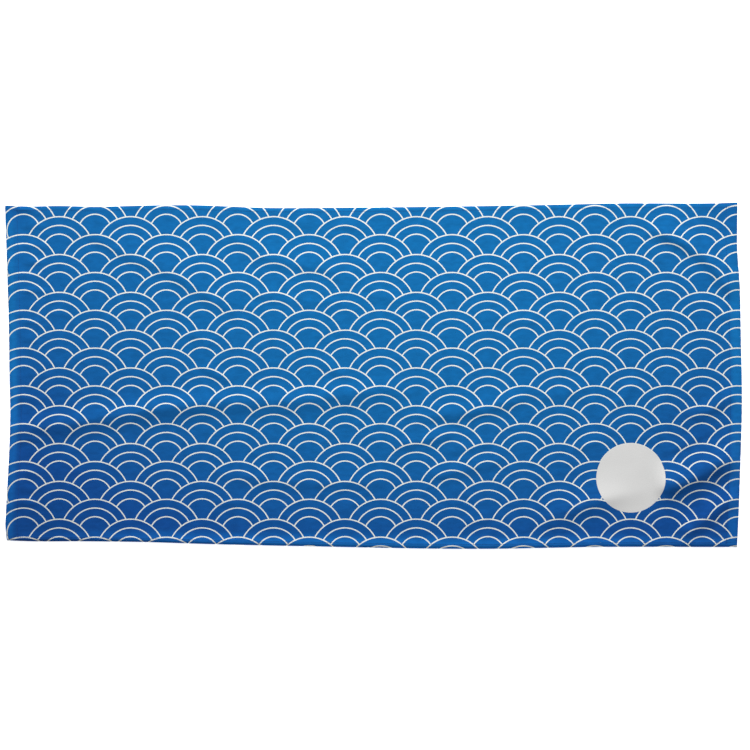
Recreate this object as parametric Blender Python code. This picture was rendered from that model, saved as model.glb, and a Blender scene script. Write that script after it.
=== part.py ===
"""Beach towel: one cut length of velour towelling with turned hems, lying flat with soft creases.

Lengths are in millimetres until the mesh is scaled to metres. +X runs along the long side, +Y across
it and +Z up. The towel lies on z = 0, and the origin is on that surface under the middle of its box.
"""
from collections import namedtuple

import bmesh
import bpy
import numpy as np

MM = 0.001

# Cut size, cloth and hems
TOWEL_LENGTH = 1500.0
TOWEL_WIDTH = 700.0
CLOTH_THICKNESS = 3.0
HEM_THICKNESS = 4.6
END_HEM_WIDTH = 25.0
SIDE_HEM_WIDTH = 11.0
HEM_STEP_WIDTH = 3.0
ROLLED_EDGE_RADIUS = 1.4
ROLLED_EDGE_SEGMENTS = 2
RIM_ANGLE_DEG = 60.0

# Mesh cells between the hems
CELLS_ALONG = 76
CELLS_ACROSS = 46

# Steps along a fold's line, the share of it at each end over which the fold dies away, and how
# round its crest is
FOLD_STEPS = 28
FOLD_TAPER = 0.24
FOLD_CREST_RADIUS = 8.0

# An edge's unevenness is felt in the cloth as this power of the share of the way out to it
EDGE_REACH_POWER = 4

# Printed velour
GROUND_BLUE = (0.011, 0.143, 0.397, 1.0)
VELOUR_ROUGHNESS = 0.92
VELOUR_SHEEN = 0.35

# How far each edge lies outside the cut size, read along the edge in millimetres
EdgeRow = namedtuple("EdgeRow", "along out")

LEFT_EDGE = (
    EdgeRow(-350.0, 1.5),
    EdgeRow(-325.0, 4.4),
    EdgeRow(-285.0, 3.4),
    EdgeRow(-211.0, -0.4),
    EdgeRow(-96.0, -5.3),
    EdgeRow(19.0, -3.6),
    EdgeRow(117.0, -2.1),
    EdgeRow(240.0, 1.7),
    EdgeRow(350.0, 5.2),
)
RIGHT_EDGE = (
    EdgeRow(-350.0, -4.6),
    EdgeRow(-286.0, -1.7),
    EdgeRow(-172.0, 2.3),
    EdgeRow(-73.0, 5.2),
    EdgeRow(91.0, 2.9),
    EdgeRow(173.0, 1.2),
    EdgeRow(260.0, -4.4),
    EdgeRow(350.0, -3.9),
)
TOP_EDGE = (
    EdgeRow(-750.0, -1.0),
    EdgeRow(-700.0, -3.0),
    EdgeRow(-645.0, -1.9),
    EdgeRow(-556.0, -3.8),
    EdgeRow(-510.0, -2.3),
    EdgeRow(-383.0, -0.3),
    EdgeRow(-211.0, -6.0),
    EdgeRow(-104.0, -5.8),
    EdgeRow(59.0, -4.3),
    EdgeRow(355.0, 0.2),
    EdgeRow(502.0, 3.3),
    EdgeRow(725.0, 4.2),
    EdgeRow(750.0, 5.2),
)
BOTTOM_EDGE = (
    EdgeRow(-750.0, -12.4),
    EdgeRow(-700.0, -10.6),
    EdgeRow(-605.0, -10.6),
    EdgeRow(-457.0, -8.7),
    EdgeRow(-359.0, -5.5),
    EdgeRow(-137.0, -0.4),
    EdgeRow(232.0, 4.9),
    EdgeRow(453.0, 1.2),
    EdgeRow(750.0, 1.2),
)

# Soft ridges in the cloth: a start, a middle and an end point, the height, and how far the ridge
# spreads on the side towards +Y and on the side towards -Y
FoldRow = namedtuple("FoldRow", "name start middle end height upper lower")

FOLDS = (
    FoldRow("long_crease_left", (-756, -114), (-560, -87), (-330, -57), 5.3, 46, 46),
    FoldRow("long_crease_right", (-430, -67), (-170, -52), (100, -18), 3.7, 42, 44),
    FoldRow("left_diagonal", (-618, 314), (-435, 221), (-258, 116), 2.0, 110, 26),
    FoldRow("top_diagonal", (-321, 289), (-180, 230), (-39, 180), 1.8, 64, 26),
    FoldRow("top_right_arc", (556, 318), (674, 245), (742, 150), 5.0, 58, 28),
    FoldRow("right_second", (664, 159), (701, 136), (735, 110), 1.2, 30, 26),
    FoldRow("upper_right_short", (228, 124), (285, 112), (350, 114), 1.1, 34, 26),
    FoldRow("middle_right", (44, -80), (220, -70), (370, -4), 3.0, 46, 28),
    FoldRow("middle_short", (36, -144), (105, -135), (174, -117), 2.0, 38, 26),
    FoldRow("low_line_left", (-340, -194), (-149, -219), (72, -216), 1.7, 44, 28),
    FoldRow("low_line_right", (98, -200), (180, -193), (280, -170), 1.9, 40, 26),
    FoldRow("lower_right", (762, -172), (650, -210), (525, -241), 10.4, 72, 54),
    FoldRow("lower_middle", (600, -221), (465, -253), (300, -318), 4.6, 60, 60),
    FoldRow("right_upper", (745, -30), (700, -63), (632, -84), 2.6, 34, 26),
    FoldRow("corner", (775, -202), (700, -276), (616, -332), 5.0, 40, 34),
    FoldRow("right_arc", (538, -7), (517, -38), (492, -71), 1.5, 30, 26),
    FoldRow("left_small_low", (-360, 20), (-325, 4), (-290, -16), 1.6, 30, 26),
    FoldRow("middle_left_small", (-118, 30), (-82, 11), (-46, -8), 1.4, 30, 26),
    FoldRow("low_right_small", (180, -303), (215, -295), (250, -287), 1.3, 30, 26),
)


def clear_scene():
    """Remove every object that the file holds."""
    for old in list(bpy.data.objects):
        bpy.data.objects.remove(old, do_unlink=True)


def read_edge(rows, along):
    """Return how far an edge lies outside the cut size at one place along it."""
    places = [row.along for row in rows]
    outs = [row.out for row in rows]
    slopes = np.gradient(outs, places)
    index = int(np.clip(np.searchsorted(places, along) - 1, 0, len(rows) - 2))
    span = places[index + 1] - places[index]
    t = float(np.clip((along - places[index]) / span, 0.0, 1.0))
    start_part = (1 + 2 * t) * (1 - t) ** 2 * outs[index] + t * (1 - t) ** 2 * span * slopes[index]
    end_part = t * t * (3 - 2 * t) * outs[index + 1] - t * t * (1 - t) * span * slopes[index + 1]
    return start_part + end_part


def edge_weight(share):
    """Return how much of an edge's unevenness is felt at a share of the way out from the middle."""
    return max(0.0, share) ** EDGE_REACH_POWER


def laid_place(x, y):
    """Return where a point of the cut length lies in plan."""
    share_x = 2 * x / TOWEL_LENGTH
    share_y = 2 * y / TOWEL_WIDTH
    right = read_edge(RIGHT_EDGE, y) * edge_weight(share_x)
    left = read_edge(LEFT_EDGE, y) * edge_weight(-share_x)
    top = read_edge(TOP_EDGE, x) * edge_weight(share_y)
    bottom = read_edge(BOTTOM_EDGE, x) * edge_weight(-share_y)
    return x + right - left, y + top - bottom


def fold_line(fold):
    """Return points along a fold's smooth line through its start, middle and end."""
    start = np.array(fold.start, dtype=float)
    middle = np.array(fold.middle, dtype=float)
    end = np.array(fold.end, dtype=float)
    pull = 2 * middle - (start + end) / 2
    t = np.linspace(0.0, 1.0, FOLD_STEPS + 1)[:, None]
    return (1 - t) ** 2 * start + 2 * t * (1 - t) * pull + t * t * end


def smooth_share(share):
    """Return a share from 0 to 1 with soft ends."""
    held = np.clip(share, 0.0, 1.0)
    return held * held * (3 - 2 * held)


def fold_lift(fold, points):
    """Return how far one fold lifts each point of the cloth; it is steepest next to its crest."""
    line = fold_line(fold)
    away = points[:, None, :] - line[None, :, :]
    distance = np.hypot(away[:, :, 0], away[:, :, 1])
    nearest = distance.argmin(axis=1)
    rows = np.arange(len(points))
    along = nearest / FOLD_STEPS
    spread = np.where(away[rows, nearest, 1] > 0, fold.upper, fold.lower)
    reached = np.hypot(distance[rows, nearest], FOLD_CREST_RADIUS) - FOLD_CREST_RADIUS
    across = np.clip(reached / (np.hypot(spread, FOLD_CREST_RADIUS) - FOLD_CREST_RADIUS), 0.0, 1.0)
    ends = smooth_share(along / FOLD_TAPER) * smooth_share((1 - along) / FOLD_TAPER)
    return fold.height * (1 - across) ** 2 * ends


def cloth_lift(points):
    """Return the height of the cloth's underside at each point; it is 0 away from the folds."""
    lift = np.zeros(len(points))
    for fold in FOLDS:
        lift = np.maximum(lift, fold_lift(fold, points))
    return lift


def hem_share(x, y):
    """Return 1 on the hems, where the cloth is double, and 0 on the single cloth."""
    from_end = TOWEL_LENGTH / 2 - abs(x)
    from_side = TOWEL_WIDTH / 2 - abs(y)
    end_share = smooth_share((END_HEM_WIDTH + HEM_STEP_WIDTH - from_end) / HEM_STEP_WIDTH)
    side_share = smooth_share((SIDE_HEM_WIDTH + HEM_STEP_WIDTH - from_side) / HEM_STEP_WIDTH)
    return max(end_share, side_share)


def grid_lines(length, hem_width, cells):
    """Return the mesh lines across one direction: edge, hem, its step, even cells, and back."""
    half = length / 2
    inner = half - hem_width - HEM_STEP_WIDTH
    outer = [half - hem_width, half]
    middle = list(np.linspace(-inner, inner, cells + 1))
    return [-outer[1], -outer[0]] + middle + outer


def spread_cut_length(bm):
    """Make the cut length's flat underside, with mesh lines on the hems."""
    lines_x = grid_lines(TOWEL_LENGTH, END_HEM_WIDTH, CELLS_ALONG)
    lines_y = grid_lines(TOWEL_WIDTH, SIDE_HEM_WIDTH, CELLS_ACROSS)
    columns = len(lines_x) - 1
    rows = len(lines_y) - 1
    bmesh.ops.create_grid(bm, x_segments=columns, y_segments=rows, size=1.0)
    for vert in bm.verts:
        column = round((vert.co.x + 1) / 2 * columns)
        row = round((vert.co.y + 1) / 2 * rows)
        vert.co = (lines_x[column], lines_y[row], 0.0)


def lay_on_folds(bm, upper):
    """Give the cloth its uneven edges, its folds and its thickness."""
    cut_places = [(vert.co.x, vert.co.y) for vert in bm.verts]
    laid_places = np.array([laid_place(x, y) for x, y in cut_places])
    lifts = cloth_lift(laid_places)
    for vert, cut, laid, lift in zip(bm.verts, cut_places, laid_places, lifts):
        extra = (HEM_THICKNESS - CLOTH_THICKNESS) * hem_share(*cut)
        thickness = CLOTH_THICKNESS + extra if vert in upper else 0.0
        vert.co = (laid[0], laid[1], lift + thickness)


def round_rim(bm, upper):
    """Round the turned edge of the hem, above and below."""
    rim = []
    for edge in bm.edges:
        same_side = (edge.verts[0] in upper) == (edge.verts[1] in upper)
        if same_side and edge.calc_face_angle() > np.radians(RIM_ANGLE_DEG):
            rim.append(edge)
    bmesh.ops.bevel(
        bm,
        geom=rim,
        offset=ROLLED_EDGE_RADIUS,
        segments=ROLLED_EDGE_SEGMENTS,
        profile=0.5,
        affect="EDGES",
        material=-1,
    )


def centre_in_plan(bm):
    """Move the cloth so that the origin is under the middle of its box."""
    xs = [vert.co.x for vert in bm.verts]
    ys = [vert.co.y for vert in bm.verts]
    shift = (-(min(xs) + max(xs)) / 2, -(min(ys) + max(ys)) / 2, 0.0)
    bmesh.ops.translate(bm, vec=shift, verts=bm.verts)


def towel_mesh():
    """Return the towel's closed mesh: its underside, drawn up to its face and laid on its folds."""
    bm = bmesh.new()
    spread_cut_length(bm)
    drawn = bmesh.ops.extrude_face_region(bm, geom=bm.faces[:])
    upper = {item for item in drawn["geom"] if isinstance(item, bmesh.types.BMVert)}
    lay_on_folds(bm, upper)
    round_rim(bm, upper)
    centre_in_plan(bm)
    bmesh.ops.scale(bm, vec=(MM, MM, MM), verts=bm.verts)
    bmesh.ops.recalc_face_normals(bm, faces=bm.faces)
    mesh = bpy.data.meshes.new("towel")
    bm.to_mesh(mesh)
    bm.free()
    return mesh


def velour_material():
    """Return the printed velour's plain blue ground."""
    material = bpy.data.materials.new("printed_velour")
    material.use_nodes = True
    shader = material.node_tree.nodes["Principled BSDF"]
    shader.inputs["Base Color"].default_value = GROUND_BLUE
    shader.inputs["Roughness"].default_value = VELOUR_ROUGHNESS
    shader.inputs["Sheen Weight"].default_value = VELOUR_SHEEN
    shader.inputs["Metallic"].default_value = 0.0
    return material


def build_towel():
    """Make the towel, its one piece of cloth."""
    mesh = towel_mesh()
    mesh.materials.append(velour_material())
    towel = bpy.data.objects.new("towel", mesh)
    bpy.context.scene.collection.objects.link(towel)


clear_scene()
build_towel()
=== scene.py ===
"""Beach towel, laid face up on a pale floor and seen from straight above.

The towel is one cut length of cotton towelling. Its face is shorn to velour and printed with white
waves on blue, its reverse keeps the loops, and its four edges are turned under and stitched. Lengths
are in millimetres until a mesh or a material is made in metres.
"""
import logging
from dataclasses import dataclass
from enum import Enum
from typing import Any

import bmesh
import bpy
import numpy as np
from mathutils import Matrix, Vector, noise


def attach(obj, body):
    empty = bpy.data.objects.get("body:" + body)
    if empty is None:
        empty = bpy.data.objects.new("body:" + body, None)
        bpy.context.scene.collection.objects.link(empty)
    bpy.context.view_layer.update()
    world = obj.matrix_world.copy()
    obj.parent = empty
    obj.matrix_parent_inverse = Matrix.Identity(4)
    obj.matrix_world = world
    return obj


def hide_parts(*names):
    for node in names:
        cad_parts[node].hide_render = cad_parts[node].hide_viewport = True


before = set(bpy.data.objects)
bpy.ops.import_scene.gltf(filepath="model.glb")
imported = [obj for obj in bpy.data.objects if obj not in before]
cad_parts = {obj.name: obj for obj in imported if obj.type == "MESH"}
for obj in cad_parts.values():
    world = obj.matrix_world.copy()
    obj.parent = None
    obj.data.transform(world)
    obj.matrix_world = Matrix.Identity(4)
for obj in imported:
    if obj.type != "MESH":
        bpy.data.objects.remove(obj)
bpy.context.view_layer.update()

Array = np.ndarray
BMesh = bmesh.types.BMesh
Tree = bpy.types.NodeTree
Socket = bpy.types.NodeSocket

LOG = logging.getLogger("beach_towel")

MM = 0.001
# How level a face of the mesh is, at least, for it to count as lying flat
FLAT_NORMAL = 0.999
# The most that the square of a share times what is left of the share can be
BAND_PEAK = 4 / 27
TOWEL_NODE = "towel"
TOWEL_BODY = "root"

PRINT_MAP = "Print"
BAKE_MAP = "OFBake"
# The point attribute that holds the painted light on the hems
HEM_LIGHT_ATTRIBUTE = "pale"


class Edge(Enum):
    """The four edges of the towel, as they lie in plan."""

    LEFT = "left"
    RIGHT = "right"
    TOP = "top"
    BOTTOM = "bottom"


class ClothSide(Enum):
    """The cloth's finishes, by their place in the towel's material list."""

    FACE = 0
    REVERSE = 1


def linear_colour(code: str) -> tuple[float, float, float, float]:
    """Turn an sRGB colour of six hex digits into linear red, green, blue and alpha, from 0 to 1."""
    parts = [int(code[place:place + 2], 16) / 255 for place in (0, 2, 4)]
    linear = [part / 12.92 if part <= 0.04045 else ((part + 0.055) / 1.055) ** 2.4 for part in parts]
    return linear[0], linear[1], linear[2], 1.0


def add_node(tree: Tree, kind: str, inputs: dict | None = None, **settings: Any) -> bpy.types.Node:
    """Add one node to a material, with its settings and links.

    Args:
        tree: The node tree that takes the node.
        kind: The node's type name.
        inputs: Input name or number to a value, or to the output socket that feeds it.
        settings: Properties of the node.

    Returns:
        The new node.
    """
    node = tree.nodes.new(kind)
    for name, value in settings.items():
        setattr(node, name, value)
    for key, value in (inputs or {}).items():
        if isinstance(value, Socket):
            tree.links.new(value, node.inputs[key])
        else:
            node.inputs[key].default_value = value
    return node


def maths(tree: Tree, operation: str, *values: Socket | float, **settings: Any) -> Socket:
    """Add one sum of numbers or sockets to a material. Like the helpers below, it returns a socket."""
    inputs = dict(enumerate(values))
    return add_node(tree, "ShaderNodeMath", inputs, operation=operation, **settings).outputs[0]


def scaled(tree: Tree, colour: Socket | tuple, share: Socket) -> Socket:
    """Add a scaling of a colour by a share."""
    inputs = {0: colour, "Scale": share}
    return add_node(tree, "ShaderNodeVectorMath", inputs, operation="SCALE").outputs["Vector"]


def mixed(tree: Tree, share: Socket, start: Socket | tuple, end: Socket | tuple) -> Socket:
    """Add a mix of two colours."""
    inputs = {"Factor": share, "A": start, "B": end}
    return add_node(tree, "ShaderNodeMix", inputs, data_type="RGBA").outputs["Result"]


def blended(tree: Tree, share: Socket, start: float, end: float) -> Socket:
    """Add a number that goes from start to end as a share goes from 0 to 1."""
    return maths(tree, "MULTIPLY_ADD", share, end - start, start)


def ramp(tree: Tree, value: Socket, span: tuple[float, float], ends: tuple[float, float] = (0.0, 1.0),
         **settings: Any) -> Socket:
    """Add a ramp that takes a value's span to two ends."""
    inputs = {"Value": value, "From Min": span[0], "From Max": span[1], "To Min": ends[0], "To Max": ends[1]}
    return add_node(tree, "ShaderNodeMapRange", inputs, **settings).outputs["Result"]


def soft_step(tree: Tree, value: Socket, low: float, high: float) -> Socket:
    """Add a soft step down from 1 at a low value to 0 at a high one."""
    return ramp(tree, value, (low, high), (1.0, 0.0), interpolation_type="SMOOTHSTEP")


def away_from(tree: Tree, place: Socket, x: float, y: float) -> Socket:
    """Add the distance in metres from a point given in millimetres."""
    inputs = {0: place, 1: (x * MM, y * MM, 0.0)}
    return add_node(tree, "ShaderNodeVectorMath", inputs, operation="DISTANCE").outputs["Value"]


def grain(tree: Tree, place: Socket, size: float, detail: float, roughness: float) -> Socket:
    """Add noise with grains of a size in millimetres."""
    inputs = {"Vector": place, "Scale": 1 / (size * MM), "Detail": detail, "Roughness": roughness}
    return add_node(tree, "ShaderNodeTexNoise", inputs).outputs["Fac"]


def finish_material(tree: Tree, inputs: dict) -> None:
    """End a material with its surface."""
    shader = add_node(tree, "ShaderNodeBsdfPrincipled", inputs)
    add_node(tree, "ShaderNodeOutputMaterial", {"Surface": shader.outputs["BSDF"]})


def new_material(name: str) -> tuple[bpy.types.Material, Tree]:
    """Make a material, and return it with its empty node tree."""
    material = bpy.data.materials.new(name)
    material.use_nodes = True
    material.node_tree.nodes.clear()
    return material, material.node_tree


def soft_share(share: Array | float) -> Array | float:
    """Return a share held between 0 and 1, with soft ends."""
    held = np.clip(share, 0.0, 1.0)
    return held * held * (3 - 2 * held)


def soft_bump(offset: Array) -> Array:
    """Return a smooth bump that is 1 in the middle and 0 from one unit away."""
    return (1 - np.clip(np.abs(offset), 0.0, 1.0) ** 2) ** 2


@dataclass(frozen=True)
class EdgeRow:
    """How far an edge lies outside the cut size, at one place along it."""

    along: float
    out: float


@dataclass(frozen=True)
class TowelOutline:
    """The towel's outline in plan: its cut size, and how unevenly each edge lies."""

    length: float = 1500.0
    width: float = 700.0
    reach_power: int = 4
    left: tuple[EdgeRow, ...] = (
        EdgeRow(-350, 1.5), EdgeRow(-325, 4.4), EdgeRow(-285, 3.4), EdgeRow(-211, -0.4),
        EdgeRow(-96, -5.3), EdgeRow(19, -3.6), EdgeRow(117, -2.1), EdgeRow(240, 1.7),
        EdgeRow(350, 5.2),
    )
    right: tuple[EdgeRow, ...] = (
        EdgeRow(-350, -4.6), EdgeRow(-286, -1.7), EdgeRow(-172, 2.3), EdgeRow(-73, 5.2),
        EdgeRow(91, 2.9), EdgeRow(173, 1.2), EdgeRow(260, -4.4), EdgeRow(350, -3.9),
    )
    top: tuple[EdgeRow, ...] = (
        EdgeRow(-750, -1.0), EdgeRow(-700, -3.0), EdgeRow(-645, -1.9), EdgeRow(-556, -3.8),
        EdgeRow(-510, -2.3), EdgeRow(-383, -0.3), EdgeRow(-211, -6.0), EdgeRow(-104, -5.8),
        EdgeRow(59, -4.3), EdgeRow(355, 0.2), EdgeRow(502, 3.3), EdgeRow(725, 4.2),
        EdgeRow(750, 5.2),
    )
    bottom: tuple[EdgeRow, ...] = (
        EdgeRow(-750, -12.4), EdgeRow(-700, -10.6), EdgeRow(-605, -10.6), EdgeRow(-457, -8.7),
        EdgeRow(-359, -5.5), EdgeRow(-137, -0.4), EdgeRow(232, 4.9), EdgeRow(453, 1.2),
        EdgeRow(750, 1.2),
    )

    def out(self, edge: Edge, along: Array) -> Array:
        """Read how far an edge lies outside the cut size.

        Args:
            edge: Which edge.
            along: Places along it, in millimetres from its middle.

        Returns:
            The distance outwards at each place.
        """
        rows = getattr(self, edge.value)
        places = np.array([row.along for row in rows])
        outs = np.array([row.out for row in rows])
        slopes = np.gradient(outs, places)
        index = np.clip(np.searchsorted(places, along) - 1, 0, len(rows) - 2)
        span = places[index + 1] - places[index]
        t = np.clip((along - places[index]) / span, 0.0, 1.0)
        start = (1 + 2 * t) * (1 - t) ** 2 * outs[index] + t * (1 - t) ** 2 * span * slopes[index]
        end = t * t * (3 - 2 * t) * outs[index + 1] - t * t * (1 - t) * span * slopes[index + 1]
        return start + end

    def pull(self, edge: Edge, along: Array, share: Array) -> Array:
        """Return how far an edge moves points that lie at a share of the way out to it."""
        return self.out(edge, along) * np.clip(share, 0, None) ** self.reach_power

    def laid(self, cut: Array) -> Array:
        """Return where points of the flat cut length lie in plan, one row each."""
        x, y = cut[:, 0], cut[:, 1]
        share_x, share_y = 2 * x / self.length, 2 * y / self.width
        laid_x = x + self.pull(Edge.RIGHT, y, share_x) - self.pull(Edge.LEFT, y, -share_x)
        laid_y = y + self.pull(Edge.TOP, x, share_y) - self.pull(Edge.BOTTOM, x, -share_y)
        return np.column_stack((laid_x, laid_y))

    def edges(self, points: Array) -> tuple[Array, Array]:
        """Return how far from the middle the nearer end edge and the nearer side edge lie."""
        x, y = points[:, 0], points[:, 1]
        end = self.length / 2 + np.where(x > 0, self.out(Edge.RIGHT, y), self.out(Edge.LEFT, y))
        side = self.width / 2 + np.where(y > 0, self.out(Edge.TOP, x), self.out(Edge.BOTTOM, x))
        return end, side


@dataclass(frozen=True)
class Hem:
    """A hem: the edge turned under once, ironed flat and stitched down.

    Inside the hem the single cloth is held up by the hem's thickness, and comes down to the floor only
    some way in. That way is long at the top edge and short at the others. The hem also sets the painted
    light that brightens the hem strips.
    """

    end_width: float = 25.0
    side_width: float = 11.0
    cloth_thickness: float = 3.0
    hem_thickness: float = 4.6
    flap_step: float = 1.6
    end_seam: float = 23.4
    side_seam: float = 9.0
    seam_half_width: float = 1.6
    end_seam_depth: float = 0.45
    side_seam_depth: float = 0.12
    seam_start: float = 4.0
    seam_fade: float = 3.0
    end_bridge: float = 14.0
    top_bridge: float = 80.0
    bottom_bridge: float = 17.0
    edge_fall: float = 1.4
    top_edge_fall: float = 0.6
    edge_fall_width: float = 6.0
    roll_radius: float = 1.5
    roll_segments: int = 3
    left_hem_light_start: float = 9.0
    left_hem_light_width: float = 13.0
    # The painted light on the left hem is strongest about its middle
    left_hem_light: float = 0.85
    left_swell: float = 0.4
    left_swell_y: float = -20.0
    left_swell_reach: float = 260.0
    right_hem_light: float = 0.75
    right_hem_light_start: float = 16.0
    right_hem_light_width: float = 9.0
    # The painted light on the right hem sets in below this height and is full that much further down
    right_hem_light_top: float = 330.0
    right_hem_light_run: float = 200.0
    bottom_hem_light: float = 0.7
    bottom_hem_light_start: float = 8.0
    bottom_hem_light_width: float = 26.0
    # The painted light on the bottom hem is strongest in its middle: it sets in from the left and wanes
    # towards the right
    bottom_hem_light_from: float = -720.0
    bottom_hem_light_run: float = 380.0
    bottom_wane_from: float = 500.0
    bottom_wane_run: float = 100.0
    bottom_wane: float = 0.5

    def bridge(self, cut: Array, from_end: Array, from_side: Array) -> Array:
        """Return 1 on the hems, falling to 0 where the single cloth reaches the floor."""
        side_width = np.where(cut[:, 1] > 0, self.top_bridge, self.bottom_bridge)
        end = 1 - np.clip((from_end - self.end_seam) / self.end_bridge, 0.0, 1.0)
        side = 1 - np.clip((from_side - self.side_seam) / side_width, 0.0, 1.0)
        return np.maximum(end, side) ** 2

    def flap(self, from_end: Array, from_side: Array) -> Array:
        """Return 1 where the turned flap lies under the cloth and 0 elsewhere."""
        end = 1 - soft_share((from_end - self.end_width) / self.flap_step)
        side = 1 - soft_share((from_side - self.side_width) / self.flap_step)
        return np.maximum(end, side)

    def fall(self, cut: Array, from_end: Array, from_side: Array) -> Array:
        """Return how far the face curves down to the turned edge, which is least at the top."""
        nearest = np.minimum(from_end, from_side)
        at_top = (from_side < from_end) & (cut[:, 1] > 0)
        depth = np.where(at_top, self.top_edge_fall, self.edge_fall)
        return depth * (1 - np.clip(nearest / self.edge_fall_width, 0.0, 1.0)) ** 2

    def seam(self, from_end: Array, from_side: Array) -> Array:
        """Return how deep the cloth is drawn in along the rows of stitches."""
        end = soft_bump((from_end - self.end_seam) / self.seam_half_width)
        side = soft_bump((from_side - self.side_seam) / self.seam_half_width)
        end_start = soft_share((from_side - self.seam_start) / self.seam_fade)
        side_start = soft_share((from_end - self.seam_start) / self.seam_fade)
        return np.maximum(end * end_start * self.end_seam_depth, side * side_start * self.side_seam_depth)

    def painted_hem_light(self, plan: Array, from_end: Array, from_side: Array) -> Array:
        """Return how much painted light brightens the hems: most on the end hems, less at the bottom, 0 on
        the field.
        """
        at_left = plan[:, 0] < 0
        start = np.where(at_left, self.left_hem_light_start, self.right_hem_light_start)
        width = np.where(at_left, self.left_hem_light_width, self.right_hem_light_width)
        at_right = self.right_hem_light * soft_share((self.right_hem_light_top - plan[:, 1]) / self.right_hem_light_run)
        swell = self.left_swell * soft_bump((plan[:, 1] - self.left_swell_y) / self.left_swell_reach)
        most = np.where(at_left, self.left_hem_light + swell, at_right)
        end = (1 - soft_share((from_end - start) / width)) * most
        low = 1 - soft_share((from_side - self.bottom_hem_light_start) / self.bottom_hem_light_width)
        along = soft_share((plan[:, 0] - self.bottom_hem_light_from) / self.bottom_hem_light_run)
        along -= self.bottom_wane * soft_share((plan[:, 0] - self.bottom_wane_from) / self.bottom_wane_run)
        return np.maximum(end, low * along * self.bottom_hem_light * (plan[:, 1] < 0))


@dataclass(frozen=True)
class Fold:
    """One soft ridge in the cloth: the line of its crest, and how far it spreads to either side.

    The upper spread is on the side towards +Y and the lower one on the side towards -Y. The ridge is
    steepest next to its crest and runs out flat.
    """

    name: str
    route: tuple[tuple[float, float], ...]
    height: float
    upper: float
    lower: float
    crest_radius: float = 6.0
    taper: float = 0.22
    steps_per_span: int = 8

    def line(self) -> Array:
        """Return points along the smooth crest line through the route's points."""
        points = np.array(self.route, dtype=float)
        before = 2 * points[0] - points[1]
        after = 2 * points[-1] - points[-2]
        held = np.vstack((before, points, after))
        t = np.linspace(0.0, 1.0, self.steps_per_span, endpoint=False)[:, None]
        spans = []
        for a, b, c, d in zip(held[:-3], held[1:-2], held[2:-1], held[3:]):
            spans.append(0.5 * (2 * b + (c - a) * t + (2 * a - 5 * b + 4 * c - d) * t ** 2
                                + (3 * b - a - 3 * c + d) * t ** 3))
        return np.vstack((*spans, points[-1:]))

    def lift(self, points: Array) -> Array:
        """Say how far the fold lifts the cloth.

        Args:
            points: Places in plan, one row each.

        Returns:
            The height over the floor at each place.
        """
        line = self.line()
        reach = max(self.upper, self.lower)
        near = np.all((points > line.min(0) - reach) & (points < line.max(0) + reach), axis=1)
        lifted = np.zeros(len(points))
        if not near.any():
            return lifted
        close = points[near]
        starts, runs = line[:-1], np.diff(line, axis=0)
        lengths = np.hypot(runs[:, 0], runs[:, 1])
        travelled = np.concatenate(([0.0], np.cumsum(lengths)))
        away = close[:, None, :] - starts[None, :, :]
        share = np.clip((away * runs).sum(2) / lengths ** 2, 0.0, 1.0)
        offset = away - share[:, :, None] * runs
        distance = np.hypot(offset[:, :, 0], offset[:, :, 1])
        nearest = distance.argmin(1)
        row = np.arange(len(close))
        above = (runs[nearest, 0] * offset[row, nearest, 1] - runs[nearest, 1] * offset[row, nearest, 0]) > 0
        runs_right = runs[nearest, 0] >= 0
        spread = np.where(above == runs_right, self.upper, self.lower)
        along = (travelled[nearest] + share[row, nearest] * lengths[nearest]) / travelled[-1]
        ends = soft_share(along / self.taper) * soft_share((1 - along) / self.taper)
        crest = self.crest_radius
        away_share = (np.hypot(distance[row, nearest], crest) - crest) / (np.hypot(spread, crest) - crest)
        lifted[near] = self.height * (1 - np.clip(away_share, 0.0, 1.0)) ** 2 * ends
        return lifted


@dataclass(frozen=True)
class Pucker:
    """A short crease that the left hem's seam draws into the cloth, level along X."""

    y: float
    start: float
    end: float
    height: float
    upper: float = 13.0
    lower: float = 10.0
    crest_radius: float = 3.0
    taper: float = 0.3
    # How far its middle arches up and its end droops
    arch: float = 1.5
    droop: float = 4.0

    def fold(self, number: int) -> Fold:
        """Return the pucker as a fold."""
        middle = ((self.start + self.end) / 2, self.y + self.arch)
        route = ((self.start, self.y), middle, (self.end, self.y - self.droop))
        return Fold(f"pucker_{number}", route, self.height, self.upper, self.lower, self.crest_radius,
                    self.taper)


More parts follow.
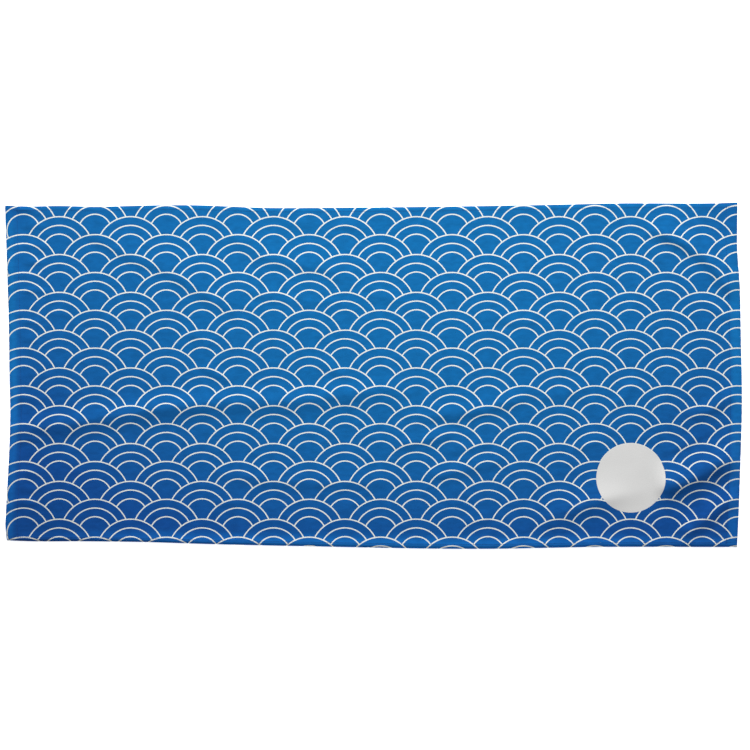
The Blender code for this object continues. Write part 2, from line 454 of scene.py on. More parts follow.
@dataclass(frozen=True)
class ClothRelief:
    """The lie of the cloth: its creases, the puckers at its hem and a slight unevenness all over."""

    folds: tuple[Fold, ...] = (
        Fold("long_crease_left", ((-790, -118), (-613, -96), (-459, -70), (-354, -59), (-240, -53)),
             5.3, 46, 46, 8.0, 0.24),
        Fold("long_crease_right",
             ((-430, -67), (-354, -59), (-284, -54), (-170, -52), (-89, -43), (100, -18)),
             3.7, 42, 44, 8.0, 0.3),
        Fold("left_diagonal",
             ((-618, 314), (-505, 249), (-427, 218), (-361, 176), (-305, 143), (-258, 116)),
             2.0, 110, 24, 6.0, 0.18),
        Fold("left_branch", ((-342, 179), (-287, 154), (-226, 132)), 0.8, 18, 14, 4.0),
        Fold("upper_line", ((-308, 188), (-226, 168), (-149, 153), (-47, 145)), 0.8, 26, 18, 4.0),
        Fold("top_diagonal", ((-321, 289), (-259, 268), (-224, 243), (-154, 227), (-95, 218), (-39, 180)),
             1.8, 64, 24),
        Fold("top_short_left", ((-170, 314), (-110, 307)), 0.8, 25, 15, 4.0),
        Fold("top_short_right", ((-84, 306), (-50, 308), (-16, 289)), 1.4, 30, 16, 4.0),
        Fold("middle_top", ((-16, 167), (26, 159), (68, 148)), 1.0, 24, 16, 4.0),
        Fold("top_right_arc",
             ((556, 318), (588, 294), (619, 280), (650, 262), (682, 238), (713, 200), (742, 150)),
             5.0, 76, 25, 6.0, 0.2),
        Fold("right_second", ((664, 159), (701, 136), (735, 110)), 1.2, 28, 18, 4.0),
        Fold("upper_right_short", ((228, 124), (285, 112), (350, 114)), 1.1, 34, 20, 4.0),
        Fold("middle_right", ((44, -80), (116, -84), (187, -75), (257, -61), (317, -36), (370, -4)),
             3.0, 46, 28, 6.0, 0.36),
        Fold("middle_right_upper", ((330, -51), (402, -34), (452, -21)), 1.3, 32, 20, 4.0),
        Fold("middle_short", ((36, -144), (95, -136), (174, -117)), 2.0, 38, 20, 4.0),
        Fold("middle_short_low", ((140, -163), (197, -148), (256, -134)), 1.1, 28, 16, 4.0),
        Fold("low_line_left", ((-340, -194), (-251, -209), (-149, -219), (-37, -218), (72, -216)),
             1.7, 44, 26),
        Fold("low_line_right", ((98, -200), (146, -203), (207, -186), (280, -170)), 1.9, 40, 22),
        Fold("lower_right",
             ((756, -172), (724, -174), (701, -183), (670, -199), (639, -214), (604, -227), (570, -236)),
             10.4, 72, 52, 9.0, 0.22),
        Fold("lower_middle", ((572, -232), (524, -242), (461, -257), (392, -279), (345, -302), (300, -319)),
             4.6, 64, 45, 9.0, 0.42),
        Fold("right_upper", ((745, -30), (716, -53), (700, -63), (671, -77), (632, -84)), 2.6, 34, 24),
        Fold("right_lower", ((704, -110), (670, -124), (639, -142), (609, -153), (576, -160)),
             1.6, 26, 20, 4.0),
        Fold("corner", ((746, -234), (725, -256), (686, -287), (656, -312), (616, -332)), 5.0, 40, 34),
        Fold("right_arc", ((538, -7), (517, -38), (492, -71)), 1.5, 24, 18, 4.0),
        Fold("beside_disc", ((404, -151), (440, -143), (476, -130)), 1.2, 26, 18, 4.0),
        Fold("left_small", ((-386, 92), (-355, 78), (-324, 60)), 1.0, 22, 14, 4.0),
        Fold("left_small_low", ((-360, 20), (-325, 4), (-290, -16)), 1.6, 28, 16, 4.0),
        Fold("middle_left_small", ((-118, 30), (-82, 11), (-46, -8)), 1.4, 26, 16, 4.0),
        Fold("low_small", ((-82, -280), (-54, -270), (-28, -256)), 1.0, 20, 14, 4.0),
        Fold("low_right_small", ((180, -303), (215, -295), (250, -287)), 1.3, 28, 20, 4.0),
        Fold("low_left_small", ((-330, -255), (-292, -261), (-255, -264)), 1.0, 22, 16, 4.0),
    )
    puckers: tuple[Pucker, ...] = (
        Pucker(339, -738, -690, 1.3), Pucker(306, -720, -668, 1.0), Pucker(265, -736, -656, 1.2),
        Pucker(232, -728, -668, 1.3), Pucker(205, -736, -690, 1.0), Pucker(173, -732, -652, 1.6),
        Pucker(125, -668, -615, 0.9), Pucker(109, -728, -680, 1.5), Pucker(76, -728, -690, 1.1),
        Pucker(-47, -732, -686, 1.2), Pucker(-131, -740, -664, 2.4), Pucker(-200, -732, -680, 1.1),
        Pucker(-233, -732, -686, 1.1), Pucker(-262, -744, -686, 1.4),
    )
    blend_power: float = 3.0
    broad_scale: float = 95.0
    broad_height: float = 0.32
    fine_scale: float = 30.0
    fine_height: float = 0.18
    seed: float = 4.7

    def lift(self, points: Array) -> Array:
        """Return the height of the cloth's underside over the floor at each place in plan."""
        rows = list(self.folds) + [pucker.fold(number) for number, pucker in enumerate(self.puckers)]
        total = np.zeros(len(points))
        for fold in rows:
            total += fold.lift(points) ** self.blend_power
        return total ** (1 / self.blend_power)

    def unevenness(self, points: Array) -> Array:
        """Return the slight rise and fall of the pile at each place in plan."""
        rise = []
        for x, y in points:
            broad = noise.noise(Vector((x / self.broad_scale, y / self.broad_scale, self.seed)))
            fine = noise.noise(Vector((x / self.fine_scale, y / self.fine_scale, self.seed * 2)))
            rise.append(broad * self.broad_height + fine * self.fine_height)
        return np.array(rise)


@dataclass(frozen=True)
class WavePrint:
    """The printed pattern: rows of overlapping discs, each with three rings, and one plain white disc.

    Each row hides the lower part of the row above it. Two sets of rows stand half a disc apart. The
    artwork's first column of discs is the one at the left end, so nothing overlaps it from further left.
    """

    pitch_across: float = 146.4
    pitch_down: float = 77.49
    first_x: float = -644.1
    first_y: float = 178.8
    half_row_drop: float = 36.8
    outer_ring: float = 69.7
    ring_gap: float = 17.9
    ring_count: int = 3
    line_width: float = 2.45
    line_softness: float = 0.3
    disc_x: float = 527.2
    disc_y: float = -209.9
    disc_radius: float = 70.6

    def front_disc(self, tree: Tree, x: Socket, y: Socket,
                   centre: tuple[float, float]) -> tuple[Socket, Socket]:
        """Find the front disc of one set of rows at a place.

        Args:
            tree: The material's node tree.
            x: The place along the towel, in metres.
            y: The place across it, in metres.
            centre: The centre of one disc of the set, in millimetres.

        Returns:
            How far the place is above the disc's centre, and low where no disc is, and how far it is
            from the centre, in metres.
        """
        rim = (self.outer_ring + self.line_width / 2) * MM
        left, right = (centre[0] - self.pitch_across / 2) * MM, (centre[0] + self.pitch_across / 2) * MM
        aside = maths(tree, "SUBTRACT", maths(tree, "WRAP", x, right, left), centre[0] * MM)
        aside_square = maths(tree, "MULTIPLY", aside, aside)
        chord_square = maths(tree, "MAXIMUM", maths(tree, "SUBTRACT", rim ** 2, aside_square), 0.0)
        half_chord = maths(tree, "SQRT", chord_square)
        below = maths(tree, "SUBTRACT", maths(tree, "ADD", half_chord, centre[1] * MM), y)
        in_row = maths(tree, "FLOORED_MODULO", below, self.pitch_down * MM)
        up = maths(tree, "SUBTRACT", half_chord, in_row)
        outside = maths(tree, "LESS_THAN", maths(tree, "ADD", up, half_chord), 0.0)
        missing = maths(tree, "MAXIMUM", outside, maths(tree, "LESS_THAN", x, left))
        rank = maths(tree, "MULTIPLY_ADD", missing, -1.0, up)
        square = maths(tree, "ADD", aside_square, maths(tree, "MULTIPLY", up, up))
        return rank, maths(tree, "SQRT", square)

    def front_distance(self, tree: Tree, x: Socket, y: Socket) -> Socket:
        """Build the distance from the centre of the disc that lies in front, in metres."""
        second_centre = (self.first_x - self.pitch_across / 2, self.first_y - self.half_row_drop)
        first_rank, first_distance = self.front_disc(tree, x, y, (self.first_x, self.first_y))
        second_rank, second_distance = self.front_disc(tree, x, y, second_centre)
        in_front = maths(tree, "GREATER_THAN", second_rank, first_rank)
        chosen = {"Factor": in_front, "A": first_distance, "B": second_distance}
        return add_node(tree, "ShaderNodeMix", chosen).outputs["Result"]

    def line_share(self, tree: Tree, distance: Socket) -> Socket:
        """Build the share of line at a distance from a disc's centre: 1 on its rings, 0 between them."""
        gap = self.ring_gap * MM
        inner = (self.outer_ring - (self.ring_count - 0.5) * self.ring_gap) * MM
        from_outer = maths(tree, "SUBTRACT", distance, self.outer_ring * MM)
        off_line = maths(tree, "ABSOLUTE", maths(tree, "WRAP", from_outer, gap / 2, -gap / 2))
        off_ring = maths(tree, "ADD", off_line, maths(tree, "LESS_THAN", distance, inner))
        low = (self.line_width - self.line_softness) / 2 * MM
        high = (self.line_width + self.line_softness) / 2 * MM
        return soft_step(tree, off_ring, low, high)

    def disc_share(self, tree: Tree, place: Socket) -> Socket:
        """Build the share of the plain white disc at a place on the print: 1 on it and 0 off it."""
        away = away_from(tree, place, self.disc_x, self.disc_y)
        low = (self.disc_radius - self.line_softness / 2) * MM
        high = (self.disc_radius + self.line_softness / 2) * MM
        return soft_step(tree, away, low, high)


@dataclass(frozen=True)
class ShadePatch:
    """A round patch of painted shade on the face: it deepens the ground's blue and dims the whole print."""

    x: float
    y: float
    radius: float
    shade_deeper: float
    shade_darker: float


@dataclass(frozen=True)
class Pile:
    """What both sides of the towelling share: a matt surface with a faint sheen at low angles."""

    roughness: float = 0.95
    specular: float = 0.03
    sheen: float = 0.03
    sheen_roughness: float = 0.6

    def finish(self, tree: Tree, colour: Socket, bump: bpy.types.Node) -> None:
        """End a material with the pile's surface."""
        finish_material(tree, {
            "Base Color": colour,
            "Roughness": self.roughness,
            "Specular IOR Level": self.specular,
            "Sheen Weight": self.sheen,
            "Sheen Roughness": self.sheen_roughness,
            "Normal": bump.outputs["Normal"],
        })


@dataclass(frozen=True)
class PrintedVelour(Pile):
    """Cotton velour: towelling whose face loops are shorn to a short upright pile, then printed.

    The cut pile scatters light, so the colour is deep and matt, with a faint sheen at low angles. The
    pile leans a little this way and that, which shows as a soft cloudiness.
    """

    name: str = "printed_velour"
    # The printed field, over which the painted light and shade change
    field_length: float = 1500.0
    field_width: float = 700.0
    # The ground's blue as lit, and as darkened by painted shade
    lit_ground: str = "1473B7"
    shaded_ground: str = "1655A6"
    # How fast the painted shade deepens the ground's blue down the towel, and towards its ends
    ground_shade_down: float = 0.88
    ground_shade_down_power: float = 3.0
    ground_shade_centre: float = 0.08
    ground_shade_aside: float = 0.28
    ground_shade_aside_low: float = 0.38
    # How much painted shade dims the whole print towards the ends, from a line a little right of the middle
    end_shade_centre: float = 0.08
    end_shade_top: float = 0.03
    end_shade_low: float = 0.06
    # How much painted light brightens a broad band just below the middle
    band_light: float = 0.03
    # Round patches of painted shade near the ends and the corners
    patches: tuple[ShadePatch, ...] = (
        ShadePatch(-690, -325, 210, 0.35, 0.09),
        ShadePatch(650, -110, 130, 0.14, 0.06),
        ShadePatch(-670, -62, 110, 0.12, 0.04),
        ShadePatch(740, 345, 120, 0.16, 0.03),
        ShadePatch(-750, 348, 60, 0.3, 0.08),
    )
    # How strongly the painted light on the hems shows at the top edge and at the bottom one
    hem_light_top: float = 0.24
    hem_light_low: float = 0.8
    # The painted light on the hems brings up the ground's green most, then its blue and least its red
    hem_light_tint: tuple[float, float, float] = (0.3, 1.0, 0.62)
    printed_white: str = "F9FEF8"
    disc_white: str = "EDEDEC"
    cloud_size: float = 9.0
    cloud_stretch: float = 2.2
    cloud_detail: float = 3.0
    cloud_roughness: float = 0.55
    cloud_span: tuple[float, float] = (0.3, 0.7)
    cloud_depth: float = 0.11
    # The pile's tufts are about 0.3 mm apart and are drawn at 1.6 mm so that they show
    tuft_size: float = 1.6
    tuft_detail: float = 2.0
    tuft_roughness: float = 0.6
    tuft_span: tuple[float, float] = (0.25, 0.75)
    tuft_colour_depth: float = 0.06
    tuft_bump: float = 0.35
    tuft_height: float = 0.5

    def build(self, print_design: WavePrint) -> bpy.types.Material:
        """Make the material, with the pattern that is printed on it."""
        material, tree = new_material(self.name)
        place = add_node(tree, "ShaderNodeUVMap", uv_map=PRINT_MAP).outputs["UV"]
        parts = add_node(tree, "ShaderNodeSeparateXYZ", {0: place})
        x, y = parts.outputs["X"], parts.outputs["Y"]
        down = ramp(tree, y, (self.field_width / 2 * MM, -self.field_width / 2 * MM))
        line = print_design.line_share(tree, print_design.front_distance(tree, x, y))
        disc = print_design.disc_share(tree, place)
        # The painted shade of the patches
        shade_deeper, shade_darker = self.patch_shade(tree, place)
        # The ground carries painted shade and painted light
        dyed = scaled(tree, self.ground(tree, x, down, shade_deeper), self.clouds(tree, place))
        waves = mixed(tree, line, dyed, linear_colour(self.printed_white))
        inked = mixed(tree, disc, waves, linear_colour(self.disc_white))
        tufts = grain(tree, place, self.tuft_size, self.tuft_detail, self.tuft_roughness)
        depth = self.tuft_colour_depth
        fine = ramp(tree, tufts, self.tuft_span, (1 - depth, 1 + depth))
        # Painted light and shade over the whole print, less the painted shade of the patches
        light_and_shade = maths(tree, "SUBTRACT", self.painted_light_and_shade(tree, x, down), shade_darker)
        bump = add_node(tree, "ShaderNodeBump", {"Strength": self.tuft_bump, "Height": tufts,
                                                 "Distance": self.tuft_height * MM})
        self.finish(tree, scaled(tree, inked, maths(tree, "MULTIPLY", fine, light_and_shade)), bump)
        return material

    def ends_share(self, tree: Tree, along: Socket, centre: float) -> Socket:
        """Build the square of the distance from a centre line, as a share of half the towel's length."""
        half = self.field_length / 2 * MM
        aside = maths(tree, "MULTIPLY_ADD", along, 1 / half, -centre / half)
        return maths(tree, "MULTIPLY", aside, aside)

    def patch_shade(self, tree: Tree, place: Socket) -> tuple[Socket, Socket]:
        """Build the painted shade of the patches: how much they deepen the ground's blue, and how much they
        dim the print.
        """
        shade_deeper = shade_darker = 0.0
        for patch in self.patches:
            share = soft_step(tree, away_from(tree, place, patch.x, patch.y), 0.0, patch.radius * MM)
            shade_deeper = maths(tree, "MULTIPLY_ADD", share, patch.shade_deeper, shade_deeper)
            shade_darker = maths(tree, "MULTIPLY_ADD", share, patch.shade_darker, shade_darker)
        return shade_deeper, shade_darker

    def painted_light_and_shade(self, tree: Tree, along: Socket, down: Socket) -> Socket:
        """Build the painted light and shade over the print: dimmer towards the ends, brighter in a band
        across.
        """
        ends = self.ends_share(tree, along, self.end_shade_centre)
        rate = blended(tree, down, -self.end_shade_top, -self.end_shade_top - self.end_shade_low)
        band = maths(tree, "MULTIPLY", maths(tree, "MULTIPLY", down, down), blended(tree, down, 1.0, 0.0))
        band_gain = blended(tree, band, 1.0, 1.0 + self.band_light / BAND_PEAK)
        return maths(tree, "MULTIPLY_ADD", ends, rate, band_gain)

    def ground(self, tree: Tree, along: Socket, down: Socket, shade_deeper: Socket) -> Socket:
        """Build the ground's blue, with painted shade that deepens it low down and at the ends, and painted
        light that brightens it on the hems.

        Args:
            tree: The material's node tree.
            along: The place along the towel, in metres.
            down: The share of the way from the top edge to the bottom one.
            shade_deeper: How much the painted shade of the patches deepens the ground.

        Returns:
            The ground's colour.
        """
        low = maths(tree, "POWER", down, self.ground_shade_down_power)
        rate = blended(tree, down, self.ground_shade_aside, self.ground_shade_aside + self.ground_shade_aside_low)
        ends = maths(tree, "MULTIPLY_ADD", self.ends_share(tree, along, self.ground_shade_centre), rate, shade_deeper)
        # Painted shade: how far the ground goes from its lit blue to its shaded blue
        depth = maths(tree, "MULTIPLY_ADD", low, self.ground_shade_down, ends, use_clamp=True)
        shaded_dye = mixed(tree, depth, linear_colour(self.lit_ground), linear_colour(self.shaded_ground))
        # Painted light on the hems
        pale = add_node(tree, "ShaderNodeAttribute", attribute_name=HEM_LIGHT_ATTRIBUTE).outputs["Fac"]
        amount = maths(tree, "MULTIPLY", pale, blended(tree, down, self.hem_light_top, self.hem_light_low))
        inputs = {0: shaded_dye, 1: scaled(tree, self.hem_light_tint, amount), 2: shaded_dye}
        return add_node(tree, "ShaderNodeVectorMath", inputs, operation="MULTIPLY_ADD").outputs["Vector"]

    def clouds(self, tree: Tree, place: Socket) -> Socket:
        """Build the soft light and dark streaks of the dyed pile, which run along the towel."""
        stroked = add_node(tree, "ShaderNodeVectorMath", {0: place, 1: (1 / self.cloud_stretch, 1.0, 1.0)},
                           operation="MULTIPLY").outputs["Vector"]
        clouds = grain(tree, stroked, self.cloud_size, self.cloud_detail, self.cloud_roughness)
        return ramp(tree, clouds, self.cloud_span, (1 - self.cloud_depth, 1 + self.cloud_depth))


@dataclass(frozen=True)
class LoopedTerry(Pile):
    """Cotton terry: the reverse of the towelling, woven with its loops left whole and undyed.

    The loops catch the light one by one, so the cloth looks pebbled and soft.
    """

    name: str = "looped_terry"
    loop_light: str = "F1F2F2"
    # The grey between the loops is painted shade
    loop_shadow: str = "B9C3CC"
    specular: float = 0.1
    sheen: float = 0.15
    # Loops stand about 1.5 mm apart and are drawn at 2.4 mm so that they show
    loop_size: float = 2.4
    loop_scatter: float = 0.7
    loop_span: tuple[float, float] = (0.1, 0.75)
    loop_bump: float = 0.8
    loop_height: float = 1.2

    def build(self) -> bpy.types.Material:
        """Make the material."""
        material, tree = new_material(self.name)
        place = add_node(tree, "ShaderNodeTexCoord").outputs["Object"]
        loops = add_node(tree, "ShaderNodeTexVoronoi", {"Vector": place, "Scale": 1 / (self.loop_size * MM),
                                                        "Randomness": self.loop_scatter}).outputs["Distance"]
        tone = ramp(tree, loops, self.loop_span)
        bump = add_node(tree, "ShaderNodeBump", {"Strength": self.loop_bump, "Height": loops,
                                                 "Distance": self.loop_height * MM}, invert=True)
        shade = mixed(tree, tone, linear_colour(self.loop_light), linear_colour(self.loop_shadow))
        self.finish(tree, shade, bump)
        return material


@dataclass(frozen=True)
class SpunThread:
    """Spun polyester sewing thread, dyed to match the ground: a dull blue with a slight grain."""

    name: str = "spun_thread"
    light: str = "17559A"
    dark: str = "0F3B78"
    roughness: float = 0.7
    # Fibres are a few hundredths of a millimetre thick and are drawn at 0.4 mm
    fibre_size: float = 0.4
    fibre_detail: float = 1.0
    fibre_roughness: float = 0.5

    def build(self) -> bpy.types.Material:
        """Make the material."""
        material, tree = new_material(self.name)
        place = add_node(tree, "ShaderNodeTexCoord").outputs["Object"]
        fibres = grain(tree, place, self.fibre_size, self.fibre_detail, self.fibre_roughness)
        shade = mixed(tree, fibres, linear_colour(self.light), linear_colour(self.dark))
        finish_material(tree, {"Base Color": shade, "Roughness": self.roughness})
        return material


@dataclass(frozen=True)
class StudioPaper:
    """Matt white background paper, lit so evenly that it reads as plain white."""

    name: str = "studio_paper"
    tone: str = "FAFAFA"
    roughness: float = 0.9
    glow: float = 0.9

    def build(self) -> bpy.types.Material:
        """Make the material."""
        material, tree = new_material(self.name)
        finish_material(tree, {
            "Base Color": linear_colour(self.tone),
            "Roughness": self.roughness,
            "Emission Color": linear_colour(self.tone),
            "Emission Strength": self.glow,
        })
        return material


def read_rows(items: bpy.types.bpy_prop_collection, name: str) -> Array:
    """Read a vector of each of a mesh's elements, one row for each."""
    values = np.zeros(len(items) * 3)
    items.foreach_get(name, values)
    return values.reshape(-1, 3)


def read_counts(items: bpy.types.bpy_prop_collection, name: str) -> Array:
    """Read a whole number of each of a mesh's elements."""
    values = np.zeros(len(items), dtype=np.int32)
    items.foreach_get(name, values)
    return values


def finish_mesh(bm: BMesh, name: str) -> bpy.types.Mesh:
    """Turn a finished build into a mesh, and free it."""
    mesh = bpy.data.meshes.new(name)
    bm.to_mesh(mesh)
    bm.free()
    return mesh


def to_metres(mesh: bpy.types.Mesh) -> None:
    """Scale a mesh from millimetres to metres and smooth it."""
    mesh.transform(((MM, 0, 0, 0), (0, MM, 0, 0), (0, 0, MM, 0), (0, 0, 0, 1)))
    mesh.shade_smooth()


def link_object(name: str, mesh: bpy.types.Mesh) -> bpy.types.Object:
    """Put a mesh into the scene as an object at the origin, and return the object."""
    piece = bpy.data.objects.new(name, mesh)
    bpy.context.scene.collection.objects.link(piece)
    return piece


@dataclass
class TowelCloth:
    """The towel itself: a closed sheet on its creases, with turned hems, face and reverse."""

    outline: TowelOutline = TowelOutline()
    hem: Hem = Hem()
    relief: ClothRelief = ClothRelief()
    print_design: WavePrint = WavePrint()
    velour: PrintedVelour = PrintedVelour()
    terry: LoopedTerry = LoopedTerry()
    # Mesh lines at the hems, as distances from the edge
    end_lines: tuple[float, ...] = (0.0, 4.0, 6.5, 10.0, 14.0, 18.0, 21.8, 22.7, 23.4, 24.1, 25.0, 25.8, 26.6,
                                    30.0)
    side_lines: tuple[float, ...] = (0.0, 3.5, 5.6, 7.4, 8.3, 9.0, 9.7, 10.6, 11.2, 11.9, 12.6, 16.0)
    cell_along: float = 5.7
    cell_across: float = 5.3
    rim_angle_deg: float = 60.0
    # Part of the baked picture's height that the reverse takes
    reverse_share: float = 0.18
    bake_length: float = 1580.0
    bake_width: float = 750.0

    def mesh_lines(self, length: float, hem_lines: tuple[float, ...], cell: float) -> Array:
        """Return the places of the mesh lines across the cloth: those of its hems, and even ones between."""
        inner = length / 2 - hem_lines[-1]
        count = round(2 * inner / cell)
        middle = np.linspace(-inner, inner, count + 1)
        outer = length / 2 - np.array(hem_lines[:-1])
        return np.concatenate((-outer, middle, outer[::-1]))

    def from_edges(self, cut: Array) -> tuple[Array, Array]:
        """Return how far each point of the cut length is from its nearer end and its nearer side."""
        return self.outline.length / 2 - np.abs(cut[:, 0]), self.outline.width / 2 - np.abs(cut[:, 1])

    def face_height(self, cut: Array) -> Array:
        """Return how high the cloth's face lies over the floor, at points of the flat cut length."""
        from_end, from_side = self.from_edges(cut)
        laid = self.outline.laid(cut)
        extra = self.hem.hem_thickness - self.hem.cloth_thickness
        level = self.hem.cloth_thickness + extra * self.hem.bridge(cut, from_end, from_side)
        drawn_in = self.hem.fall(cut, from_end, from_side) + self.hem.seam(from_end, from_side)
        return self.relief.lift(laid) + self.relief.unevenness(laid) + level - drawn_in

    def reverse_height(self, cut: Array) -> Array:
        """Return how high the cloth's reverse lies over the floor, at points of the flat cut length."""
        from_end, from_side = self.from_edges(cut)
        extra = self.hem.hem_thickness - self.hem.cloth_thickness
        held_up = self.hem.bridge(cut, from_end, from_side) - self.hem.flap(from_end, from_side)
        level = np.maximum(extra * held_up, 0.0) + self.hem.seam(from_end, from_side)
        return self.relief.lift(self.outline.laid(cut)) + level

    def spread(self, bm: BMesh) -> None:
        """Make the cut length as a flat grid, with lines along the hems."""
        lines_x = self.mesh_lines(self.outline.length, self.end_lines, self.cell_along)
        lines_y = self.mesh_lines(self.outline.width, self.side_lines, self.cell_across)
        columns, rows = len(lines_x) - 1, len(lines_y) - 1
        bmesh.ops.create_grid(bm, x_segments=columns, y_segments=rows, size=1.0)
        for vert in bm.verts:
            column = round((vert.co.x + 1) / 2 * columns)
            row = round((vert.co.y + 1) / 2 * rows)
            vert.co = (lines_x[column], lines_y[row], 0.0)

    def lay(self, bm: BMesh) -> set:
        """Draw the grid up to a face, lay face and reverse on the creases, and return the face's points."""
        drawn = bmesh.ops.extrude_face_region(bm, geom=bm.faces[:])
        upper = {item for item in drawn["geom"] if isinstance(item, bmesh.types.BMVert)}
        lower = [vert for vert in bm.verts if vert not in upper]
        for verts, height in ((list(upper), self.face_height), (lower, self.reverse_height)):
            cut = np.array([(vert.co.x, vert.co.y) for vert in verts])
            laid = self.outline.laid(cut)
            for vert, place, level in zip(verts, laid, height(cut)):
                vert.co = (place[0], place[1], level)
        return upper

    def roll_rim(self, bm: BMesh, upper: set) -> None:
        """Round the turned edge, above and below."""
        sharp = np.radians(self.rim_angle_deg)
        rim = []
        for edge in bm.edges:
            on_one_side = (edge.verts[0] in upper) == (edge.verts[1] in upper)
            if on_one_side and edge.calc_face_angle() > sharp:
                rim.append(edge)
        bmesh.ops.bevel(bm, geom=rim, offset=self.hem.roll_radius, segments=self.hem.roll_segments,
                        profile=0.5, affect="EDGES", material=-1)

    def build(self) -> bpy.types.Object:
        """Build the towel and dress it."""
        bm = bmesh.new()
        self.spread(bm)
        self.roll_rim(bm, self.lay(bm))
        bmesh.ops.recalc_face_normals(bm, faces=bm.faces)
        mesh = finish_mesh(bm, "towel_cloth")
        self.dress(mesh)
        to_metres(mesh)
        cloth = link_object("towel_cloth", mesh)
        LOG.info("towel_cloth: %d faces", len(mesh.polygons))
        return cloth

    def dress(self, mesh: bpy.types.Mesh) -> None:
        """Give the mesh, still in millimetres, its materials, its two maps and the painted light of the hems.
        """
        mesh.materials.append(self.velour.build(self.print_design))
        mesh.materials.append(self.terry.build())
        points = read_rows(mesh.vertices, "co")
        plan = points[:, :2]
        end_edge, side_edge = self.outline.edges(plan)
        from_end, from_side = end_edge - np.abs(plan[:, 0]), side_edge - np.abs(plan[:, 1])

        normals = read_rows(mesh.polygons, "normal")
        centres = read_rows(mesh.polygons, "center")
        centre_end, centre_side = self.outline.edges(centres)
        centre_end = centre_end - np.abs(centres[:, 0])
        centre_side = centre_side - np.abs(centres[:, 1])
        roll = self.hem.roll_radius
        in_rim = (np.minimum(centre_end, centre_side) < roll) & (np.abs(normals[:, 2]) < FLAT_NORMAL)
        on_face = (normals[:, 2] > 0) & ~in_rim
        at_end = np.where(in_rim, centre_end < centre_side, centre_end < self.hem.end_width)
        on_flap = ~on_face & ~in_rim & (at_end | (centre_side < self.hem.side_width))
        printed = on_face | in_rim | on_flap
        sides = np.where(printed, ClothSide.FACE.value, ClothSide.REVERSE.value)
        mesh.polygons.foreach_set("material_index", sides.astype(np.int32))

        counts = read_counts(mesh.polygons, "loop_total")
        owner = np.repeat(np.arange(len(counts)), counts)
        corner = read_counts(mesh.loops, "vertex_index")
        unfolded = self.unfold(points[corner], end_edge[corner], side_edge[corner], at_end[owner],
                               in_rim[owner], on_flap[owner])
        self.write_map(mesh, PRINT_MAP, unfolded * MM)
        self.write_map(mesh, BAKE_MAP, self.bake_places(unfolded, printed[owner]))
        # The painted light on the hems, one value for each point
        pale = mesh.attributes.new(HEM_LIGHT_ATTRIBUTE, "FLOAT", "POINT")
        pale.data.foreach_set("value", self.hem.painted_hem_light(plan, from_end, from_side))

    def unfold(self, corners: Array, end_edge: Array, side_edge: Array, at_end: Array,
               in_rim: Array, on_flap: Array) -> Array:
        """Say where each face corner lies on the cloth before its hems are turned under.

        Args:
            corners: The corners' places, one row each.
            end_edge: How far from the middle the short edge lies, for each corner.
            side_edge: How far from the middle the long edge lies, for each corner.
            at_end: Whether the corner's face belongs to an end hem.
            in_rim: Whether its face is in the rolled rim.
            on_flap: Whether its face is on the turned flap.

        Returns:
            Places on the flat printed cloth, in millimetres.
        """
        roll = self.hem.roll_radius
        edge_thickness = self.hem.hem_thickness - self.hem.edge_fall
        around = np.pi * roll + edge_thickness - 2 * roll
        flat = corners[:, :2].copy()
        above = corners[in_rim, 2] - self.relief.lift(flat[in_rim])
        down = np.zeros(len(corners))
        down[in_rim] = np.clip(1 - above / edge_thickness, 0.0, 1.0)
        for axis, edge, here in ((0, end_edge, at_end), (1, side_edge, ~at_end)):
            sign = np.sign(corners[:, axis])
            rolled = edge - roll + around * down
            turned = 2 * (edge - roll) + around - np.abs(corners[:, axis])
            flat[:, axis] = np.where(in_rim & here, sign * rolled, flat[:, axis])
            flat[:, axis] = np.where(on_flap & here, sign * turned, flat[:, axis])
        return flat

    def bake_places(self, unfolded: Array, printed: Array) -> Array:
        """Return where places of the printed side and of the reverse lie in the unit square, side by side."""
        along = 0.5 + unfolded[:, 0] / self.bake_length
        across = 0.5 + unfolded[:, 1] / self.bake_width
        printed_row = self.reverse_share + (1 - self.reverse_share) * across
        reverse_row = self.reverse_share * across
        return np.column_stack((along, np.where(printed, printed_row, reverse_row)))

    def write_map(self, mesh: bpy.types.Mesh, name: str, places: Array) -> None:
        """Store a UV map on the mesh, one place for each face corner."""
        layer = mesh.uv_layers.new(name=name)
        layer.data.foreach_set("uv", places.astype(np.float32).ravel())


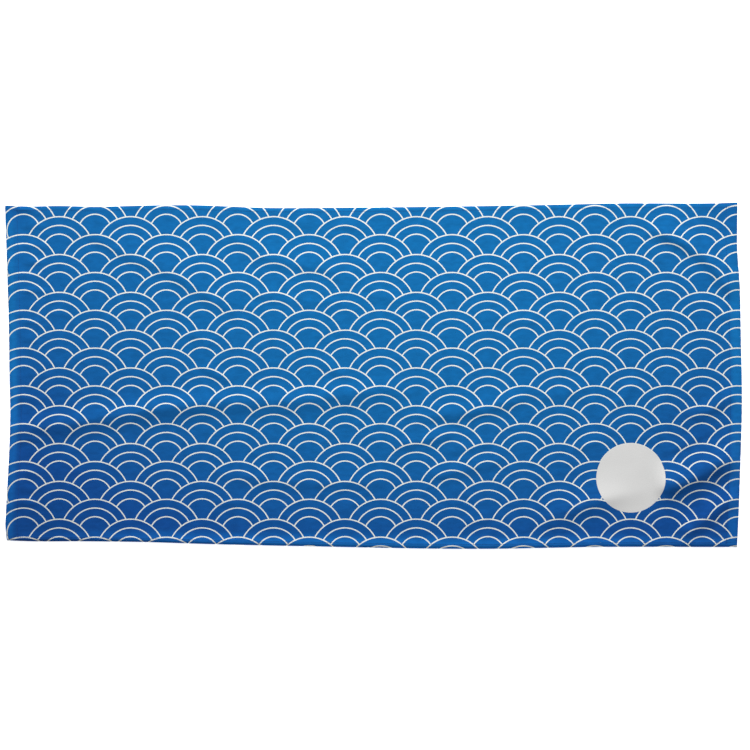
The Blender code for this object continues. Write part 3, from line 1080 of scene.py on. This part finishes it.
@dataclass
class HemStitching:
    """The rows of lockstitch that hold the hems down, on the face and on the reverse."""

    cloth: TowelCloth
    thread: SpunThread = SpunThread()
    pitch: float = 3.6
    stitch_length: float = 3.0
    # The thread is 0.3 mm thick and is drawn at twice that so that it shows
    thread_radius: float = 0.3
    proud: float = 0.12
    row_inset: float = 6.0

    def rows(self) -> list[tuple[Array, Array]]:
        """Return the start and end of each row of stitches on the cut length."""
        half_x = self.cloth.outline.length / 2
        half_y = self.cloth.outline.width / 2
        seam_x = half_x - self.cloth.hem.end_seam
        seam_y = half_y - self.cloth.hem.side_seam
        reach_x, reach_y = half_x - self.row_inset, half_y - self.row_inset
        found = []
        for sign in (-1, 1):
            found.append((np.array((sign * seam_x, -reach_y)), np.array((sign * seam_x, reach_y))))
            found.append((np.array((-reach_x, sign * seam_y)), np.array((reach_x, sign * seam_y))))
        return found

    def stitch(self) -> BMesh:
        """Return one stitch, lying along X at the origin."""
        bm = bmesh.new()
        bmesh.ops.create_icosphere(bm, subdivisions=1, radius=1.0)
        size = (self.stitch_length / 2, self.thread_radius, self.thread_radius)
        bmesh.ops.scale(bm, vec=size, verts=bm.verts)
        return bm

    def add_row(self, bm: BMesh, stitch: BMesh, start: Array, end: Array,
                face: bool) -> int:
        """Sew one row of stitches.

        Args:
            bm: The mesh that takes them.
            stitch: One stitch, at the origin.
            start: The row's start on the cut length.
            end: The row's end.
            face: Whether the row is on the face, and not on the reverse.

        Returns:
            The number of stitches.
        """
        count = int(np.hypot(*(end - start)) // self.pitch)
        shares = (np.arange(count) + 0.5) / count
        cut = start + shares[:, None] * (end - start)
        laid = self.cloth.outline.laid(cut)
        if face:
            level = self.cloth.face_height(cut) + self.proud
        else:
            level = np.maximum(self.cloth.reverse_height(cut) - self.proud, self.thread_radius)
        ahead = np.gradient(laid, axis=0)
        climb = np.gradient(level)
        sewn = bpy.data.meshes.new("sewn_stitch")
        for place, height, step, rise in zip(laid, level, ahead, climb):
            along = Vector((step[0], step[1], rise)).normalized()
            turn = along.to_track_quat("X", "Z").to_matrix().to_4x4()
            turn.translation = (place[0], place[1], height)
            one = stitch.copy()
            bmesh.ops.transform(one, matrix=turn, verts=one.verts)
            one.to_mesh(sewn)
            one.free()
            bm.from_mesh(sewn)
        bpy.data.meshes.remove(sewn)
        return count

    def build(self) -> bpy.types.Object:
        """Sew every row and dress the thread."""
        bm = bmesh.new()
        stitch = self.stitch()
        count = 0
        for start, end in self.rows():
            for face in (True, False):
                count += self.add_row(bm, stitch, start, end, face)
        stitch.free()
        mesh = finish_mesh(bm, "hem_stitching")
        to_metres(mesh)
        mesh.materials.append(self.thread.build())
        stitching = link_object("hem_stitching", mesh)
        LOG.info("hem_stitching: %d stitches, %d faces", count, len(mesh.polygons))
        return stitching


@dataclass(frozen=True)
class SoftLight:
    """One soft box: where it stands, what it points at, its size and its power."""

    name: str
    place: tuple[float, float, float]
    aim: tuple[float, float, float]
    size: float
    power: float

    def build(self) -> None:
        """Set up the lamp."""
        lamp = bpy.data.lights.new(self.name, "AREA")
        lamp.shape = "DISK"
        lamp.size = self.size
        lamp.energy = self.power
        light = bpy.data.objects.new(self.name, lamp)
        light.location = self.place
        light.rotation_euler = (Vector(self.aim) - Vector(self.place)).to_track_quat("-Z", "Y").to_euler()
        bpy.context.scene.collection.objects.link(light)


@dataclass
class Studio:
    """The pale floor, the soft light and the camera over the towel, in metres."""

    paper: StudioPaper = StudioPaper()
    floor_size: float = 8.0
    floor_drop: float = 0.0002
    lights: tuple[SoftLight, ...] = (
        SoftLight("key_light", (0.05, 3.6, 2.15), (0.0, 0.1, 0.0), 1.4, 240.0),
    )
    sky: str = "FFFFFF"
    sky_strength: float = 0.16
    # The photograph's frame is 750 pixels wide, and the towel's 1500 mm take 732 of them
    frame_pixels: float = 750.0
    towel_pixels: float = 732.0
    towel_length: float = 1.5
    camera_x: float = 0.0031
    camera_y: float = 0.0015
    lens: float = 85.0
    sensor: float = 36.0
    face_height: float = 0.004

    def build(self) -> None:
        """Set up the floor, the lights, the sky and the camera."""
        bm = bmesh.new()
        bmesh.ops.create_grid(bm, x_segments=1, y_segments=1, size=self.floor_size / 2)
        bmesh.ops.translate(bm, vec=(0.0, 0.0, -self.floor_drop), verts=bm.verts)
        mesh = finish_mesh(bm, "studio_floor")
        mesh.materials.append(self.paper.build())
        floor = link_object("studio_floor", mesh)
        for light in self.lights:
            light.build()
        self.build_sky()
        self.build_camera()
        LOG.info("studio: floor, %d lights and camera", len(self.lights))

    def build_sky(self) -> None:
        """Fill the room with even light."""
        world = bpy.data.worlds.new("studio_sky")
        world.use_nodes = True
        background = world.node_tree.nodes["Background"]
        background.inputs["Color"].default_value = linear_colour(self.sky)
        background.inputs["Strength"].default_value = self.sky_strength
        bpy.context.scene.world = world

    def build_camera(self) -> None:
        """Hang the camera over the towel, looking straight down."""
        camera_data = bpy.data.cameras.new("camera_above")
        camera_data.lens = self.lens
        camera_data.sensor_width = self.sensor
        camera = bpy.data.objects.new("camera_above", camera_data)
        frame_width = self.towel_length * self.frame_pixels / self.towel_pixels
        height = frame_width * self.lens / self.sensor + self.face_height
        camera.location = (self.camera_x, self.camera_y, height)
        bpy.context.scene.collection.objects.link(camera)
        bpy.context.scene.camera = camera
        bpy.context.scene.view_settings.view_transform = "Standard"


def main() -> None:
    """Build the towel, its stitching and the studio, and tell the frame what each piece is."""
    logging.basicConfig(level=logging.INFO, format="%(name)s %(message)s")
    towel = TowelCloth()
    cloth = towel.build()
    stitching = HemStitching(towel).build()
    for piece in (cloth, stitching):
        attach(piece, TOWEL_BODY)
    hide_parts(TOWEL_NODE)
    Studio().build()


if __name__ == "__main__":
    main()
